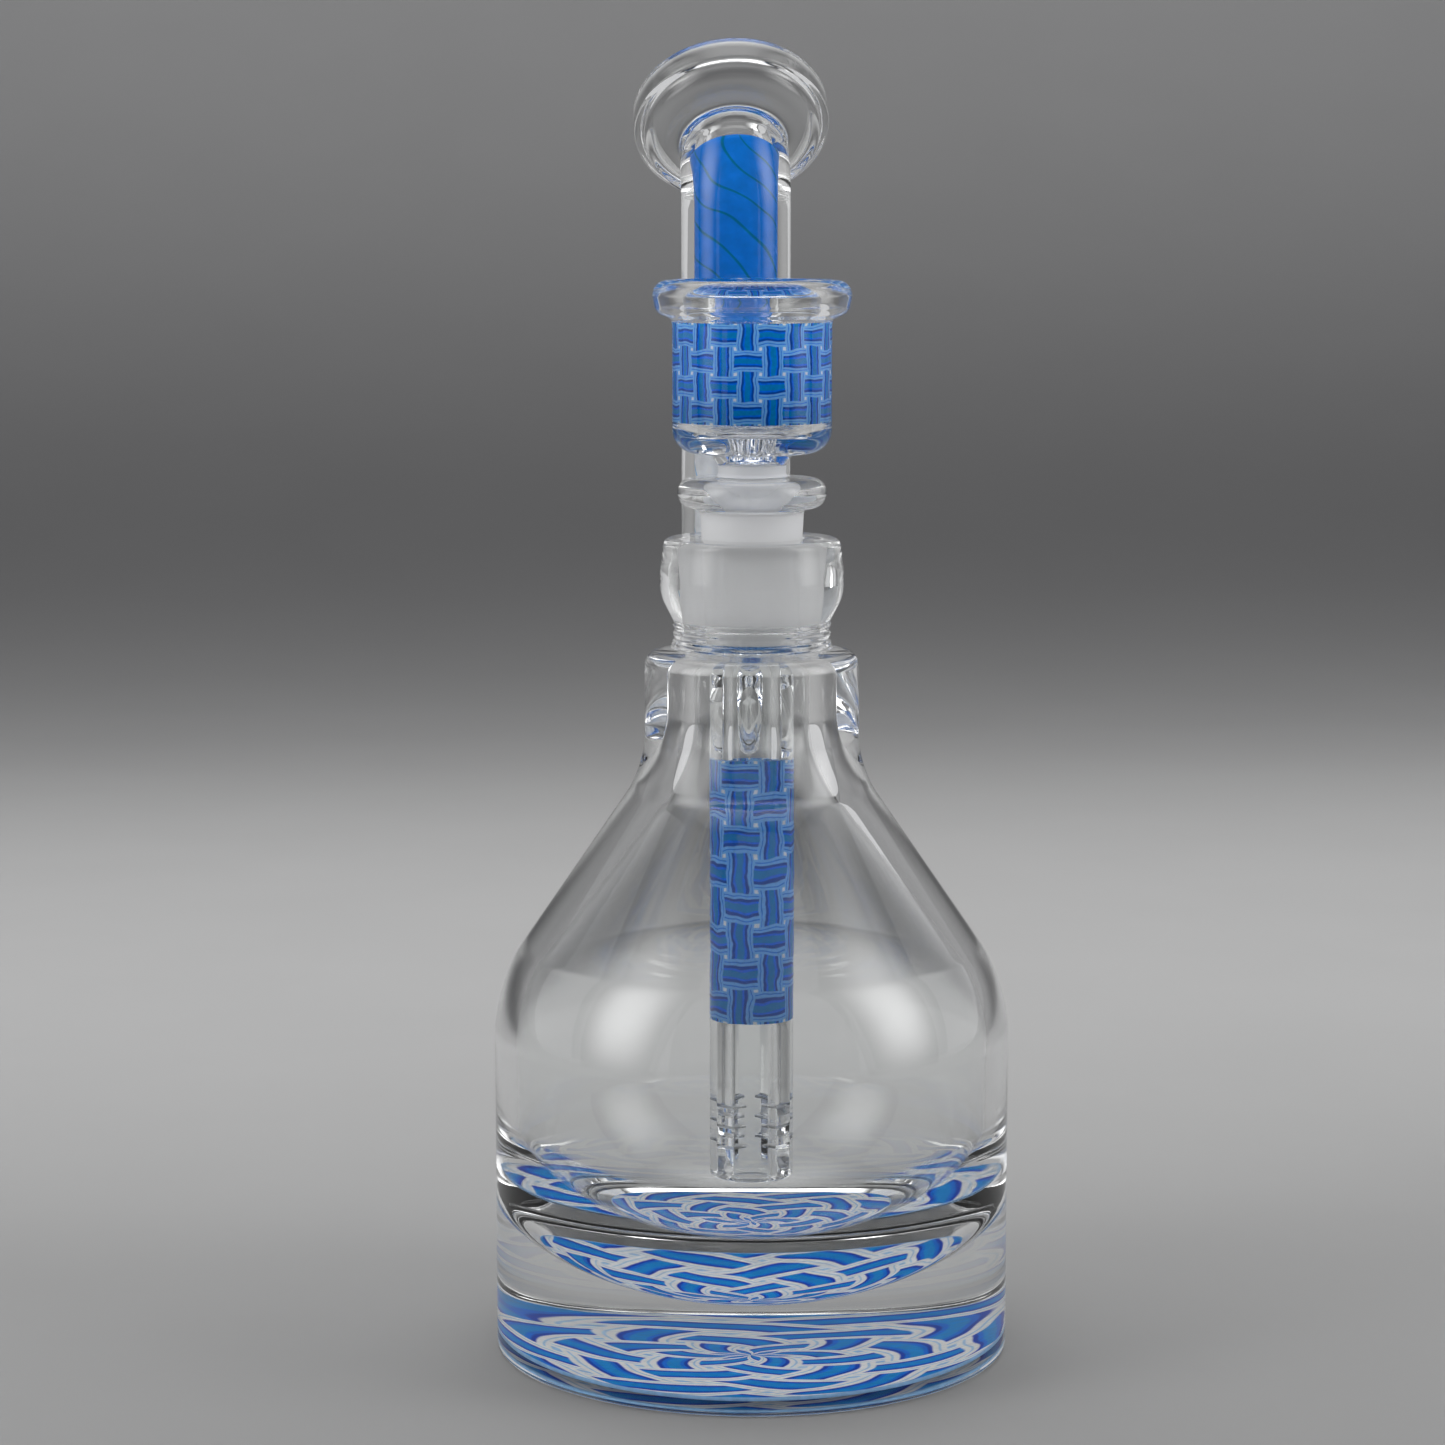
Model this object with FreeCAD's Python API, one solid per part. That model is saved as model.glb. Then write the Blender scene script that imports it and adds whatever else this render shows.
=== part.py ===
"""Glass water pipe: a thick-based bottle, a fixed downstem, a bent mouthpiece tube and a lift-out bowl slide.

Millimetres, +Z up. The origin is the centre of the underside of the base, where it rests on a table.
The downstem, the joint and the slide stand on the Z axis; the mouthpiece tube rises behind them, on +Y.
Most pieces are turned glass, so they are revolved from an outline of (radius, height, rounding) corners.
"""
import FreeCAD, Part
import math
import os

V = FreeCAD.Vector
ORIGIN = V(0, 0, 0)
UP = V(0, 0, 1)
SIDEWAYS = V(1, 0, 0)
FULL_TURN = 360
SAME_POINT = 1e-4

# Bottle: a straight wall, a cone at CONE_SLOPE (radius per height) and a straight neck.
BASE_R = 37.5
BASE_EDGE = 1.0
WALL_R = 34.2
SHOULDER_Z = 53.9
SHOULDER_ROUND = 22.0
CONE_SLOPE = 0.678
NECK_R = 15.5
NECK_BORE_R = 8.3
NECK_TOP_Z = 102.1
NECK_FILLET = 8.0
NECK_EDGE = 2.2
INNER_CONE_START_Z = 53.0
INNER_CONE_END_Z = 87.8
INNER_SHOULDER_ROUND = 20.0
INNER_NECK_FILLET = 14.0
NECK_CEILING_Z = 100.9

# Solid base: a flat patterned disc sealed between the foot and the block. The block's hollow is half an
# ellipsoid with a small flat in the middle of its floor.
DISC_R = 30.0
DISC_BOTTOM_Z = 0.9
DISC_TOP_Z = 1.4
FLOOR_Z = 9.6
HOLLOW_DEPTH = 25.8
FLOOR_FLAT_R = 3.0
BLOCK_TOP_Z = FLOOR_Z + HOLLOW_DEPTH

# Downstem, on the axis.
STEM_R = 6.1
STEM_BORE_R = 2.9
STEM_TOP_Z = 102.2
STEM_WEAVE_TOP_Z = 87.4
STEM_WEAVE_BOTTOM_Z = 49.0
STEM_BOTTOM_Z = 23.2
STEM_LIP = 1.2
SLIT_HEIGHTS = (30.5, 33.5, 36.5)
SLITS_ROUND = 4
SLIT_HEIGHT = 0.7
SLIT_WIDTH = 3.2
SLIT_START_ANGLE = 45.0

# Joint: a 1:10 ground taper whose large end is the standard 14.5 mm.
TAPER_R = 7.25
TAPER_TOP_Z = 118.6
TAPER_PER_MM = 0.05
GROUND_CLEARANCE = 0.03
RING_R = 11.5
RING_BOTTOM_Z = 103.3
RING_TOP_Z = 107.0
RING_BORE_R = 7.4
RING_RIPPLE = 0.35
BULB_CORNER = (13.5, 111.2)
BULB_ROUND = 7.0
SOCKET_LIP_R = 12.75
SOCKET_LIP_Z = 118.9
SOCKET_LIP_ROUND = 1.2

# Slide: ground cone, grip ring, stem and bowl.
CONE_TIP_Z = 103.0
CONE_TIP_ROUND = 0.5
CONE_BORE_R = 5.0
GRIP_BOTTOM_Z = 123.2
GRIP_TOP_Z = 127.5
GRIP_R = 10.75
GRIP_ROUND = 2.1
GRIP_NARROWING_BOTTOM_Z = 123.8
GRIP_NARROWING_TOP_Z = 125.8
SLIDE_STEM_R = 4.9
SLIDE_BORE_R = 3.0
SLIDE_STEM_TOP_Z = 129.4
BUTTON_R = 5.9
BUTTON_TOP_Z = 131.1
CUP_R = 11.45
CUP_ROUND = 3.4
CUP_INNER_R = 9.2
CUP_FLOOR_Z = 133.8
CUP_INNER_ROUND = 1.2
BUTTON_ROUND = 0.5
BAND_BOTTOM_Z = 135.6
BAND_TOP_Z = 149.9
RIM_R = 14.2
RIM_TOP_Z = 157.0
RIM_LIP_Z = 151.7
RIM_ROUND = 1.7
RIM_CREST_R = 13.6
RIM_CREST_ROUND = 2.0
RIM_INNER_Z = 155.5
RIM_INNER_ROUND = 2.4
SCREEN_HOLES = 6
SCREEN_HOLE_R = 0.55
SCREEN_RING_R = 1.9

# Mouthpiece: foot out of the back of the neck, lower bend, riser, upper bend and lip. The lip's underside
# bulges like a bowl and its mouth is a funnel; both are (radius, height below the rim, rounding) corners.
RISER_Y = 23.4
RISER_R = 8.15
RISER_SWELL = 2.4
RISER_SWELL_ROUND = 1.0
LINED_R = 4.25
LINING_R = 3.75
FOOT_R = 7.6
FOOT_BORE_R = 3.75
FOOT_RISE = 30.0
FOOT_START = V(0, 6.0, 91.27)
LOWER_BEND_R = 12.0
LINING_BOTTOM_Z = 112.0
LINING_SPLIT_Z = 133.0
UPPER_BEND_R = 13.0
UPPER_BEND_Z = 165.7
LIP_TILT = 45.0
LINED_TURN = 36.0
LIP_R = 14.7
LIP_BAND = 4.2
LIP_DEPTH = 7.9
LIP_BAND_ROUND = 1.5
LIP_EDGE = 0.5
LIP_UNDERSIDE = [(8.3, -7.4, 0.5), (12.5, -5.9, 3.0)]
LIP_FUNNEL = [(13.3, 0, 0.4), (11.9, -2.8, 3.0), (6.6, -5.0, 3.0), (LINED_R, -7.4, 0)]


def rounded_wire(corners):
    """Closed wire in the XZ plane through (radius, height, rounding) corners, with tangent arcs."""
    points = [V(radius, 0, height) for radius, height, _ in corners]
    joins = []
    for index, (_, _, rounding) in enumerate(corners):
        here = points[index]
        if not rounding:
            joins.append((here, None, here))
            continue
        back = (points[index - 1] - here).normalize()
        ahead = (points[(index + 1) % len(points)] - here).normalize()
        half_turn = (math.pi - back.getAngle(ahead)) / 2
        reach = rounding * math.tan(half_turn)
        middle = here + (back + ahead).normalize() * rounding * (1 / math.cos(half_turn) - 1)
        joins.append((here + back * reach, middle, here + ahead * reach))
    edges = []
    for index, (start, middle, end) in enumerate(joins):
        if middle:
            edges.append(Part.Arc(start, middle, end).toShape())
        following = joins[(index + 1) % len(joins)][0]
        if end.distanceToPoint(following) > SAME_POINT:
            edges.append(Part.LineSegment(end, following).toShape())
    return Part.Wire(edges)


def turned(corners):
    """Solid of revolution about Z from an outline of (radius, height, rounding) corners."""
    return Part.Face(rounded_wire(corners)).revolve(ORIGIN, UP, FULL_TURN)


def tube(outer_r, bore_r, bottom_z, top_z):
    """Straight tube on the Z axis."""
    length = top_z - bottom_z
    outer = Part.makeCylinder(outer_r, length, V(0, 0, bottom_z))
    return outer.cut(Part.makeCylinder(bore_r, length, V(0, 0, bottom_z)))


def bent_tube(outer_r, bore_r, start, rise, bend_r, turn):
    """Tube bent in the YZ plane from start, leaving at rise degrees above +Y and turning by turn degrees.

    A positive turn bends it upwards, a negative one bends it over towards +Y.
    """
    angle = math.radians(rise)
    heading = V(0, math.cos(angle), math.sin(angle))
    inward = V(0, -math.sin(angle), math.cos(angle)) * math.copysign(1, turn)
    section = Part.Face(Part.Wire(Part.makeCircle(outer_r, start, heading)))
    bore = Part.Face(Part.Wire(Part.makeCircle(bore_r, start, heading)))
    return section.cut(bore).revolve(start + inward * bend_r, SIDEWAYS, turn)


def taper_r(height):
    """Radius of the ground cone at a height."""
    return TAPER_R + TAPER_PER_MM * (height - TAPER_TOP_Z)


def foot_heading():
    """Direction in which the mouthpiece leaves the neck."""
    return V(0, math.cos(math.radians(FOOT_RISE)), math.sin(math.radians(FOOT_RISE)))


def lower_bend_start():
    """Point on the foot's line where the bend to the vertical riser begins."""
    rise = math.radians(FOOT_RISE)
    corner_reach = (RISER_Y - FOOT_START.y) / math.cos(rise)
    return FOOT_START + foot_heading() * (corner_reach - LOWER_BEND_R * math.tan((math.pi / 2 - rise) / 2))


def riser_bottom_z():
    """Height at which the lower bend has become vertical."""
    start = lower_bend_start()
    return start.z + LOWER_BEND_R * math.cos(math.radians(FOOT_RISE))


def bottle_outside(bottom_z):
    """Outer corners of the bottle above bottom_z, up to the flat under the weld ring."""
    neck_corner_z = SHOULDER_Z + (BASE_R - NECK_R) / CONE_SLOPE
    return [
        (BASE_R, bottom_z, 0),
        (BASE_R, SHOULDER_Z, SHOULDER_ROUND),
        (NECK_R, neck_corner_z, NECK_FILLET),
        (NECK_R, NECK_TOP_Z, NECK_EDGE),
        (RING_R, RING_BOTTOM_Z, 0),
    ]


def make_base_foot():
    """Foot with a shallow recess for the patterned disc."""
    return turned([
        (0, 0, 0), (BASE_R, 0, BASE_EDGE), (BASE_R, DISC_TOP_Z, 0),
        (DISC_R, DISC_TOP_Z, 0), (DISC_R, DISC_BOTTOM_Z, 0), (0, DISC_BOTTOM_Z, 0),
    ])


def make_patterned_disc():
    """Flat disc sealed in the foot's recess."""
    return Part.makeCylinder(DISC_R, DISC_TOP_Z - DISC_BOTTOM_Z, V(0, 0, DISC_BOTTOM_Z))


def make_base_block():
    """Thick base, hollowed from above by half an ellipsoid that meets the wall without a corner."""
    hollow = Part.Ellipse(V(WALL_R, 0, BLOCK_TOP_Z), V(0, 0, FLOOR_Z), V(0, 0, BLOCK_TOP_Z))
    flat_start = math.acos(FLOOR_FLAT_R / WALL_R)
    flat_z = BLOCK_TOP_Z - HOLLOW_DEPTH * math.sin(flat_start)
    outline = Part.makePolygon([
        V(FLOOR_FLAT_R, 0, flat_z), V(0, 0, flat_z), V(0, 0, DISC_TOP_Z), V(BASE_R, 0, DISC_TOP_Z),
        V(BASE_R, 0, BLOCK_TOP_Z), V(WALL_R, 0, BLOCK_TOP_Z),
    ])
    wire = Part.Wire(outline.Edges + [Part.ArcOfEllipse(hollow, 0, flat_start).toShape()])
    return Part.Face(wire).revolve(ORIGIN, UP, FULL_TURN)


def make_bottle_shell():
    """Wall, cone and neck, closed over the downstem and bored at the back for the mouthpiece."""
    shell = turned(bottle_outside(BLOCK_TOP_Z) + [
        (RING_BORE_R, RING_BOTTOM_Z, 0),
        (RING_BORE_R, STEM_TOP_Z, 0),
        (STEM_R, STEM_TOP_Z, 0),
        (STEM_R, NECK_CEILING_Z, 0),
        (NECK_BORE_R, NECK_CEILING_Z, 0),
        (NECK_BORE_R, INNER_CONE_END_Z, INNER_NECK_FILLET),
        (WALL_R, INNER_CONE_START_Z, INNER_SHOULDER_ROUND),
        (WALL_R, BLOCK_TOP_Z, 0),
    ])
    bore_length = (lower_bend_start() - FOOT_START).Length
    bore = Part.makeCylinder(FOOT_BORE_R, bore_length, FOOT_START, foot_heading())
    downstem_space = Part.makeCylinder(STEM_R + SAME_POINT, NECK_TOP_Z)
    return shell.cut(bore.cut(downstem_space))


def make_weld_ring():
    """Rippled seal between the neck and the socket."""
    middle_z = (RING_BOTTOM_Z + RING_TOP_Z) / 2
    return turned([
        (RING_BORE_R, RING_BOTTOM_Z, 0), (RING_R, RING_BOTTOM_Z, 0),
        (RING_R - RING_RIPPLE, (RING_BOTTOM_Z + middle_z) / 2, RING_RIPPLE),
        (RING_R, middle_z, RING_RIPPLE),
        (RING_R - RING_RIPPLE, (RING_TOP_Z + middle_z) / 2, RING_RIPPLE),
        (RING_R, RING_TOP_Z, 0), (RING_BORE_R, RING_TOP_Z, 0),
    ])


def make_joint_socket():
    """Barrel-shaped socket, ground inside to the standard taper."""
    bore_top = taper_r(SOCKET_LIP_Z) + GROUND_CLEARANCE
    bore_bottom = taper_r(RING_TOP_Z) + GROUND_CLEARANCE
    return turned([
        (bore_bottom, RING_TOP_Z, 0), (RING_R, RING_TOP_Z, 0),
        (*BULB_CORNER, BULB_ROUND),
        (SOCKET_LIP_R, SOCKET_LIP_Z, SOCKET_LIP_ROUND),
        (bore_top, SOCKET_LIP_Z, 0),
    ])


def make_downstem_top():
    """Clear upper length of the downstem, welded into the neck."""
    return tube(STEM_R, STEM_BORE_R, STEM_WEAVE_TOP_Z, STEM_TOP_Z)


def make_downstem_weave():
    """Patterned length of the downstem."""
    return tube(STEM_R, STEM_BORE_R, STEM_WEAVE_BOTTOM_Z, STEM_WEAVE_TOP_Z)


def make_downstem_diffuser():
    """Clear lower length with a fire-polished open end and rows of sawn slits."""
    diffuser = turned([
        (STEM_BORE_R, STEM_BOTTOM_Z, STEM_LIP), (STEM_R, STEM_BOTTOM_Z, STEM_LIP),
        (STEM_R, STEM_WEAVE_BOTTOM_Z, 0), (STEM_BORE_R, STEM_WEAVE_BOTTOM_Z, 0),
    ])
    for height in SLIT_HEIGHTS:
        for index in range(SLITS_ROUND):
            corner = V(0, -SLIT_WIDTH / 2, height - SLIT_HEIGHT / 2)
            slit = Part.makeBox(2 * STEM_R, SLIT_WIDTH, SLIT_HEIGHT, corner)
            slit.rotate(ORIGIN, UP, SLIT_START_ANGLE + index * FULL_TURN / SLITS_ROUND)
            diffuser = diffuser.cut(slit)
    return diffuser


def make_tube_foot():
    """Straight foot of the mouthpiece, fused to the outside of the neck."""
    length = (lower_bend_start() - FOOT_START).Length
    foot = Part.makeCylinder(FOOT_R, length, FOOT_START, foot_heading())
    foot = foot.cut(Part.makeCylinder(FOOT_BORE_R, length, FOOT_START, foot_heading()))
    bottle = turned([(0, BLOCK_TOP_Z, 0)] + bottle_outside(BLOCK_TOP_Z) + [(0, RING_BOTTOM_Z, 0)])
    return foot.cut(bottle)


def make_lower_bend():
    """Bend from the foot to the vertical riser."""
    return bent_tube(FOOT_R, FOOT_BORE_R, lower_bend_start(), FOOT_RISE, LOWER_BEND_R, 90 - FOOT_RISE)


def make_riser_tube():
    """Straight riser; its bore is widened where it is lined."""
    bottom_z = riser_bottom_z()
    swell_z = bottom_z + RISER_SWELL
    riser = turned([
        (FOOT_BORE_R, bottom_z, 0), (FOOT_R, bottom_z, 0), (RISER_R, swell_z, RISER_SWELL_ROUND),
        (RISER_R, UPPER_BEND_Z, 0), (LINED_R, UPPER_BEND_Z, 0),
        (LINED_R, LINING_BOTTOM_Z, 0), (FOOT_BORE_R, LINING_BOTTOM_Z, 0),
    ])
    riser.translate(V(0, RISER_Y, 0))
    return riser


def make_upper_bend():
    """Bend that tips the mouthpiece back."""
    return bent_tube(RISER_R, LINED_R, V(0, RISER_Y, UPPER_BEND_Z), 90, UPPER_BEND_R, -LIP_TILT)


def make_mouthpiece_lip():
    """Flared dish with a flat-sided rim band, tilted back on the end of the upper bend."""
    lip = turned([
        (LINED_R, -LIP_DEPTH, 0), (RISER_R, -LIP_DEPTH, 0), *LIP_UNDERSIDE,
        (LIP_R, -LIP_BAND, LIP_BAND_ROUND), (LIP_R, 0, LIP_EDGE), *LIP_FUNNEL,
    ])
    tilt = math.radians(LIP_TILT)
    bend_y = RISER_Y + UPPER_BEND_R * (1 - math.cos(tilt))
    bend_end = V(0, bend_y, UPPER_BEND_Z + UPPER_BEND_R * math.sin(tilt))
    lip.rotate(ORIGIN, SIDEWAYS, -LIP_TILT)
    lip.translate(bend_end + V(0, math.sin(tilt), math.cos(tilt)) * LIP_DEPTH)
    return lip


def make_lining_white():
    """Lower, white length of the coloured lining."""
    lining = tube(LINED_R, LINING_R, LINING_BOTTOM_Z, LINING_SPLIT_Z)
    lining.translate(V(0, RISER_Y, 0))
    return lining


def make_lining_blue():
    """Upper, blue length of the lining, which ends part of the way round the upper bend."""
    straight = tube(LINED_R, LINING_R, LINING_SPLIT_Z, UPPER_BEND_Z)
    straight.translate(V(0, RISER_Y, 0))
    bend = bent_tube(LINED_R, LINING_R, V(0, RISER_Y, UPPER_BEND_Z), 90, UPPER_BEND_R, -LINED_TURN)
    return straight.fuse(bend).removeSplitter()


def make_ground_cone():
    """Male taper that seats in the socket."""
    return turned([
        (CONE_BORE_R, CONE_TIP_Z, 0), (taper_r(CONE_TIP_Z), CONE_TIP_Z, CONE_TIP_ROUND),
        (taper_r(GRIP_BOTTOM_Z), GRIP_BOTTOM_Z, 0), (CONE_BORE_R, GRIP_BOTTOM_Z, 0),
    ])


def make_grip_ring():
    """Rounded ring that stops the fingers; its bore narrows from the cone's to the stem's."""
    return turned([
        (CONE_BORE_R, GRIP_BOTTOM_Z, 0), (GRIP_R, GRIP_BOTTOM_Z, GRIP_ROUND),
        (GRIP_R, GRIP_TOP_Z, GRIP_ROUND), (SLIDE_BORE_R, GRIP_TOP_Z, 0),
        (SLIDE_BORE_R, GRIP_NARROWING_TOP_Z, 0), (CONE_BORE_R, GRIP_NARROWING_BOTTOM_Z, 0),
    ])


def make_slide_stem():
    """Short neck between the grip ring and the bowl."""
    return tube(SLIDE_STEM_R, SLIDE_BORE_R, GRIP_TOP_Z, SLIDE_STEM_TOP_Z)


def make_bowl_floor():
    """Rounded underside of the bowl, with a button below and a ring of screen holes through it."""
    floor = turned([
        (0, BUTTON_TOP_Z, 0), (SLIDE_BORE_R, BUTTON_TOP_Z, 0), (SLIDE_BORE_R, SLIDE_STEM_TOP_Z, 0),
        (SLIDE_STEM_R, SLIDE_STEM_TOP_Z, 0), (BUTTON_R, BUTTON_TOP_Z, BUTTON_ROUND),
        (CUP_R, BUTTON_TOP_Z, CUP_ROUND), (CUP_R, BAND_BOTTOM_Z, 0), (CUP_INNER_R, BAND_BOTTOM_Z, 0),
        (CUP_INNER_R, CUP_FLOOR_Z, CUP_INNER_ROUND), (0, CUP_FLOOR_Z, 0),
    ])
    hole = Part.makeCylinder(SCREEN_HOLE_R, CUP_R, V(0, 0, SLIDE_STEM_TOP_Z))
    floor = floor.cut(hole)
    for index in range(SCREEN_HOLES):
        outer = hole.translated(V(SCREEN_RING_R, 0, 0))
        outer.rotate(ORIGIN, UP, index * FULL_TURN / SCREEN_HOLES)
        floor = floor.cut(outer)
    return floor


def make_bowl_weave_band():
    """Patterned wall of the bowl."""
    return tube(CUP_R, CUP_INNER_R, BAND_BOTTOM_Z, BAND_TOP_Z)


def make_bowl_rim():
    """Rolled rim that flares out over the band."""
    return turned([
        (CUP_INNER_R, BAND_TOP_Z, 0), (CUP_R, BAND_TOP_Z, 0),
        (RIM_R, RIM_LIP_Z, RIM_ROUND), (RIM_CREST_R, RIM_TOP_Z, RIM_CREST_ROUND),
        (CUP_INNER_R, RIM_INNER_Z, RIM_INNER_ROUND),
    ])


NODES = {
    "base_foot": make_base_foot,
    "patterned_disc": make_patterned_disc,
    "base_block": make_base_block,
    "bottle_shell": make_bottle_shell,
    "weld_ring": make_weld_ring,
    "joint_socket": make_joint_socket,
    "downstem_top": make_downstem_top,
    "downstem_weave": make_downstem_weave,
    "downstem_diffuser": make_downstem_diffuser,
    "tube_foot": make_tube_foot,
    "lower_bend": make_lower_bend,
    "riser_tube": make_riser_tube,
    "upper_bend": make_upper_bend,
    "mouthpiece_lip": make_mouthpiece_lip,
    "lining_white": make_lining_white,
    "lining_blue": make_lining_blue,
    "ground_cone": make_ground_cone,
    "grip_ring": make_grip_ring,
    "slide_stem": make_slide_stem,
    "bowl_floor": make_bowl_floor,
    "bowl_weave_band": make_bowl_weave_band,
    "bowl_rim": make_bowl_rim,
}

os.makedirs("parts", exist_ok=True)
for node, make in NODES.items():
    shape = make()
    print(node, len(shape.Solids), shape.isValid(), round(shape.Volume, 1))
    shape.exportStep(f"parts/{node}.step")
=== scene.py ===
"""Glass water pipe: clear bottle and mouthpiece, patterned glass inside it, and a lift-out bowl slide.

Sizes are in millimetres and turned into metres where meshes are made. +Z is up, the bottle stands on the
XY plane around the Z axis, and the mouthpiece rises behind it on +Y.
"""
import logging
import math
from dataclasses import dataclass, field
from enum import Enum
from functools import lru_cache
from typing import Callable, Sequence

import bmesh
import bpy
from bmesh.types import BMEdge, BMesh, BMVert
from mathutils import Matrix, Vector

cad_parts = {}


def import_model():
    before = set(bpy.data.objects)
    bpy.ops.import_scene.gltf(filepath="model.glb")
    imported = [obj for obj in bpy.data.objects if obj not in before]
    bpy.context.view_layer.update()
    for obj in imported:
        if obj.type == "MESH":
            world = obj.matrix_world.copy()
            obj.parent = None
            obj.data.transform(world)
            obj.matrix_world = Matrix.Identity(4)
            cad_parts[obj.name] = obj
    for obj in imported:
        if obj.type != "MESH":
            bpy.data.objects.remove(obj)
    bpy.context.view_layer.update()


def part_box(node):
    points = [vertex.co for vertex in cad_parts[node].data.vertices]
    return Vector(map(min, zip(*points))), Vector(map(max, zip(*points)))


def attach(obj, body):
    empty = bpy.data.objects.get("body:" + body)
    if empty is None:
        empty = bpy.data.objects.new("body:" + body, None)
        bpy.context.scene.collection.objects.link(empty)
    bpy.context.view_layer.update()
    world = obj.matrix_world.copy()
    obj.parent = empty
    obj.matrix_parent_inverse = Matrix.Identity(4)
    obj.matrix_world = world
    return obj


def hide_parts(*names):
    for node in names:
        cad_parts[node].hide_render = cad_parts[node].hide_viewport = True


MM = 0.001
FULL_TURN = 2 * math.pi
BOROSILICATE_IOR = 1.473
CLEAR_SKIN = 0.25  # clear glass over a patterned sleeve, in millimetres
MERGED_MM = 0.0005
DEGENERATE_MM = 0.0001
SAME_SIZE = 1e-9
SHORTEST_PULL = 1e-4
LOG = logging.getLogger("glass_pipe")

Corner = tuple[float, float, float]
Colour = tuple[float, float, float]
Span = tuple[float, float]
Profile = Sequence[tuple[float, float]]
Socket = bpy.types.NodeSocket
Finish = bpy.types.Material
Piece = bpy.types.Object


class Slot(Enum):
    """Material slots that the pieces stand for."""

    CLEAR = "clear_glass"
    WEAVE = "weave_glass"
    SWIRL = "swirl_glass"
    BLUE = "blue_lining"
    WHITE = "white_lining"


class Body(Enum):
    """The two bodies that the pipe comes apart into."""

    BOTTLE = "bottle"
    SLIDE = "slide"


class Action(Enum):
    """What a tool does to a piece."""

    FUSE = "UNION"
    CUT = "DIFFERENCE"


# ---------------- node helpers


class Nodes:
    """Builds one material's node tree, a node or a sum at a time."""

    def __init__(self, name: str) -> None:
        """Start an empty material.

        Args:
            name: the material's name.
        """
        self.material = bpy.data.materials.new(name)
        self.material.use_nodes = True
        self.tree = self.material.node_tree
        self.tree.nodes.clear()

    def add(self, kind: str, inputs: dict[str, object], **settings: object) -> bpy.types.Node:
        """Add a node.

        Args:
            kind: the node's type name without its ShaderNode prefix.
            inputs: what its named inputs take, as sockets, numbers or tuples.
            settings: attributes to set on the node.

        Returns:
            The new node.
        """
        node = self.tree.nodes.new("ShaderNode" + kind)
        for key, value in settings.items():
            setattr(node, key, value)
        for key, source in inputs.items():
            self.put(source, node.inputs[key])
        return node

    def put(self, source: object, socket: Socket) -> None:
        """Link a socket into another, or set a plain value on it.

        Args:
            source: an output socket, a number or a tuple.
            socket: the input that takes it.
        """
        if isinstance(source, Socket):
            self.tree.links.new(source, socket)
        else:
            socket.default_value = source

    def sum(self, operation: str, *values: object) -> Socket:
        """Add one Math node.

        Args:
            operation: the Math node's operation.
            values: its inputs, as sockets or numbers.

        Returns:
            The result's socket.
        """
        node = self.add("Math", {}, operation=operation)
        for socket, value in zip(node.inputs, values):
            self.put(value, socket)
        return node.outputs[0]

    def smooth(self, value: object, low: float, high: float) -> Socket:
        """Ramp smoothly from 0 at low to 1 at high (or from 1 down to 0 where low is above high).

        Args:
            value: the socket to ramp.
            low: where the ramp starts.
            high: where it ends.

        Returns:
            The ramp's socket.
        """
        falling = low > high
        limits = {"From Min": min(low, high), "From Max": max(low, high)}
        results = {"To Min": float(falling), "To Max": float(not falling)}
        node = self.add("MapRange", {"Value": value, **limits, **results}, interpolation_type="SMOOTHSTEP")
        return node.outputs["Result"]

    def blend(self, share: object, first: object, second: object) -> Socket:
        """Mix two colours.

        Args:
            share: how much of the second, as a socket or number.
            first: a colour or socket.
            second: a colour or socket.

        Returns:
            The mixed colour's socket.
        """
        node = self.add("Mix", {"Factor": share}, data_type="RGBA")
        for key, colour in (("A", first), ("B", second)):
            socket = next(s for s in node.inputs if s.name == key and s.type == "RGBA")
            self.put(colour if isinstance(colour, Socket) else (*colour, 1.0), socket)
        return next(s for s in node.outputs if s.type == "RGBA")

    def stretch(self, where: Socket, scale: Sequence[float], start: Sequence[float] = (0, 0, 0)) -> Socket:
        """Scale coordinates along X, Y and Z and add a start to them."""
        inputs = {"Vector": where, "Scale": scale, "Location": start}
        return self.add("Mapping", inputs, vector_type="POINT").outputs[0]

    def place(self, centre: Vector = Vector((0, 0, 0))) -> Socket:
        """Object coordinates in millimetres, counted from a centre given in millimetres."""
        return self.stretch(self.add("TexCoord", {}).outputs["Object"], (1 / MM, 1 / MM, 1 / MM), -centre)

    def noise(self, where: Socket, scale: float, detail: float = 2.0) -> Socket:
        """Noise from 0 to 1, with a scale in cycles per millimetre and a detail in octaves."""
        return self.add("TexNoise", {"Vector": where, "Scale": scale, "Detail": detail}).outputs["Fac"]

    def sway(self, where: Socket, scale: float, detail: float = 1.0) -> Socket:
        """Noise centred on 0; the arguments are those of noise."""
        return self.sum("SUBTRACT", self.noise(where, scale, detail), 0.5)

    def split(self, where: Socket) -> list[Socket]:
        """Split a vector into the sockets of its X, Y and Z."""
        return list(self.add("SeparateXYZ", {"Vector": where}).outputs)

    def bump(self, height: Socket, depth_mm: float) -> Socket:
        """Normal of a relief whose height 1 stands depth_mm above its height 0."""
        return self.add("Bump", {"Height": height, "Distance": depth_mm * MM}).outputs[0]

    def toned(self, colour: Socket, factor: Socket) -> Socket:
        """Make a colour lighter or darker by a factor."""
        return self.add("HueSaturation", {"Color": colour, "Value": factor}).outputs[0]

    def close(self, kind: str, inputs: dict[str, object]) -> Finish:
        """Add a shader and send it to the surface output.

        Args:
            kind: the shader's type name without its ShaderNode prefix.
            inputs: what its named inputs take.

        Returns:
            The finished material.
        """
        self.add("OutputMaterial", {"Surface": self.add(kind, inputs).outputs[0]})
        return self.material


# ---------------- finishes


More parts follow.
